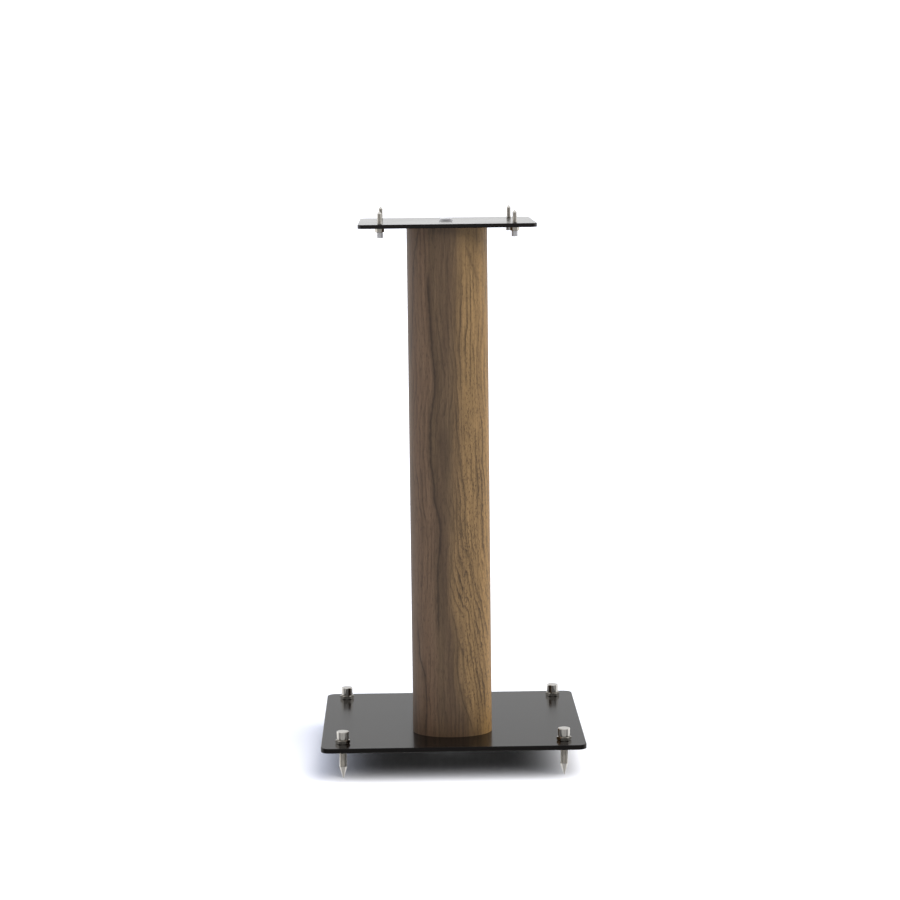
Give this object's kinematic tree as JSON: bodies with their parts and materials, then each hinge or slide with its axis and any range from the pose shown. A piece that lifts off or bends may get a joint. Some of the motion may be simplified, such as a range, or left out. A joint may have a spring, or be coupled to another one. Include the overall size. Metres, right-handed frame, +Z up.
{
  "type": "speaker stand",
  "caption": "Floor stand that lifts a bookshelf speaker: rounded walnut column clamped between black steel plates, on screw-adjusted floor spikes, with short spikes on top.",
  "frame": {"origin": "on the floor, at the level of the floor spikes' tips, below the middle of the base plate", "axes": "+Z up along the column, +X to the right and -Y to the front as the stand faces the listener"},
  "size_m": [0.33, 0.3, 0.703],
  "materials": {
    "black_powder_coat": "satin black powder coat on steel sheet",
    "column_board": "sawn fibreboard, bare at the ends",
    "walnut": "walnut veneer under satin lacquer",
    "bright_chrome": "turned steel, polished and chromed",
    "bright_nickel": "bright nickel plate on hexagon nuts",
    "zinc_steel": "clear zinc plate"
  },
  "bodies": {
    "root": {"base_plate": "black_powder_coat", "top_plate": "black_powder_coat", "column_core": "column_board", "column_veneer": "walnut", "tie_rod": "zinc_steel", "tie_rod_cap_nut": "bright_chrome", "tie_rod_washer": "zinc_steel", "tie_rod_nut": "zinc_steel"},
    "floor_spike_front_left": {"floor_spike_front_left": "bright_chrome"},
    "floor_lock_nut_front_left": {"floor_lock_nut_front_left": "bright_nickel"},
    "top_spike_front_left": {"top_spike_front_left": "bright_chrome"},
    "top_lock_nut_front_left": {"top_lock_nut_front_left": "bright_nickel"},
    "floor_spike_front_right": {"floor_spike_front_right": "bright_chrome"},
    "floor_lock_nut_front_right": {"floor_lock_nut_front_right": "bright_nickel"},
    "top_spike_front_right": {"top_spike_front_right": "bright_chrome"},
    "top_lock_nut_front_right": {"top_lock_nut_front_right": "bright_nickel"},
    "floor_spike_rear_left": {"floor_spike_rear_left": "bright_chrome"},
    "floor_lock_nut_rear_left": {"floor_lock_nut_rear_left": "bright_nickel"},
    "top_spike_rear_left": {"top_spike_rear_left": "bright_chrome"},
    "top_lock_nut_rear_left": {"top_lock_nut_rear_left": "bright_nickel"},
    "floor_spike_rear_right": {"floor_spike_rear_right": "bright_chrome"},
    "floor_lock_nut_rear_right": {"floor_lock_nut_rear_right": "bright_nickel"},
    "top_spike_rear_right": {"top_spike_rear_right": "bright_chrome"},
    "top_lock_nut_rear_right": {"top_lock_nut_rear_right": "bright_nickel"}
  },
  "joints": [
    {"name": "floor_spike_front_left_height", "type": "slide", "parent": "root", "child": "floor_spike_front_left", "axis": [0, 0, 1], "range_m": [0, 0.012]},
    {"name": "floor_lock_nut_front_left_turn", "type": "hinge", "parent": "root", "child": "floor_lock_nut_front_left", "pos_m": [-0.138, -0.122, 0.044], "axis": [0, 0, 1], "continuous": true},
    {"name": "top_spike_front_left_height", "type": "slide", "parent": "root", "child": "top_spike_front_left", "axis": [0, 0, 1], "range_m": [-0.01, 0]},
    {"name": "top_lock_nut_front_left_turn", "type": "hinge", "parent": "root", "child": "top_lock_nut_front_left", "pos_m": [-0.083, -0.088, 0.682], "axis": [0, 0, 1], "continuous": true},
    {"name": "floor_spike_front_right_height", "type": "slide", "parent": "root", "child": "floor_spike_front_right", "axis": [0, 0, 1], "range_m": [0, 0.012]},
    {"name": "floor_lock_nut_front_right_turn", "type": "hinge", "parent": "root", "child": "floor_lock_nut_front_right", "pos_m": [0.138, -0.122, 0.044], "axis": [0, 0, 1], "continuous": true},
    {"name": "top_spike_front_right_height", "type": "slide", "parent": "root", "child": "top_spike_front_right", "axis": [0, 0, 1], "range_m": [-0.01, 0]},
    {"name": "top_lock_nut_front_right_turn", "type": "hinge", "parent": "root", "child": "top_lock_nut_front_right", "pos_m": [0.083, -0.088, 0.682], "axis": [0, 0, 1], "continuous": true},
    {"name": "floor_spike_rear_left_height", "type": "slide", "parent": "root", "child": "floor_spike_rear_left", "axis": [0, 0, 1], "range_m": [0, 0.012]},
    {"name": "floor_lock_nut_rear_left_turn", "type": "hinge", "parent": "root", "child": "floor_lock_nut_rear_left", "pos_m": [-0.138, 0.122, 0.044], "axis": [0, 0, 1], "continuous": true},
    {"name": "top_spike_rear_left_height", "type": "slide", "parent": "root", "child": "top_spike_rear_left", "axis": [0, 0, 1], "range_m": [-0.01, 0]},
    {"name": "top_lock_nut_rear_left_turn", "type": "hinge", "parent": "root", "child": "top_lock_nut_rear_left", "pos_m": [-0.083, 0.088, 0.682], "axis": [0, 0, 1], "continuous": true},
    {"name": "floor_spike_rear_right_height", "type": "slide", "parent": "root", "child": "floor_spike_rear_right", "axis": [0, 0, 1], "range_m": [0, 0.012]},
    {"name": "floor_lock_nut_rear_right_turn", "type": "hinge", "parent": "root", "child": "floor_lock_nut_rear_right", "pos_m": [0.138, 0.122, 0.044], "axis": [0, 0, 1], "continuous": true},
    {"name": "top_spike_rear_right_height", "type": "slide", "parent": "root", "child": "top_spike_rear_right", "axis": [0, 0, 1], "range_m": [-0.01, 0]},
    {"name": "top_lock_nut_rear_right_turn", "type": "hinge", "parent": "root", "child": "top_lock_nut_rear_right", "pos_m": [0.083, 0.088, 0.682], "axis": [0, 0, 1], "continuous": true}
  ]
}
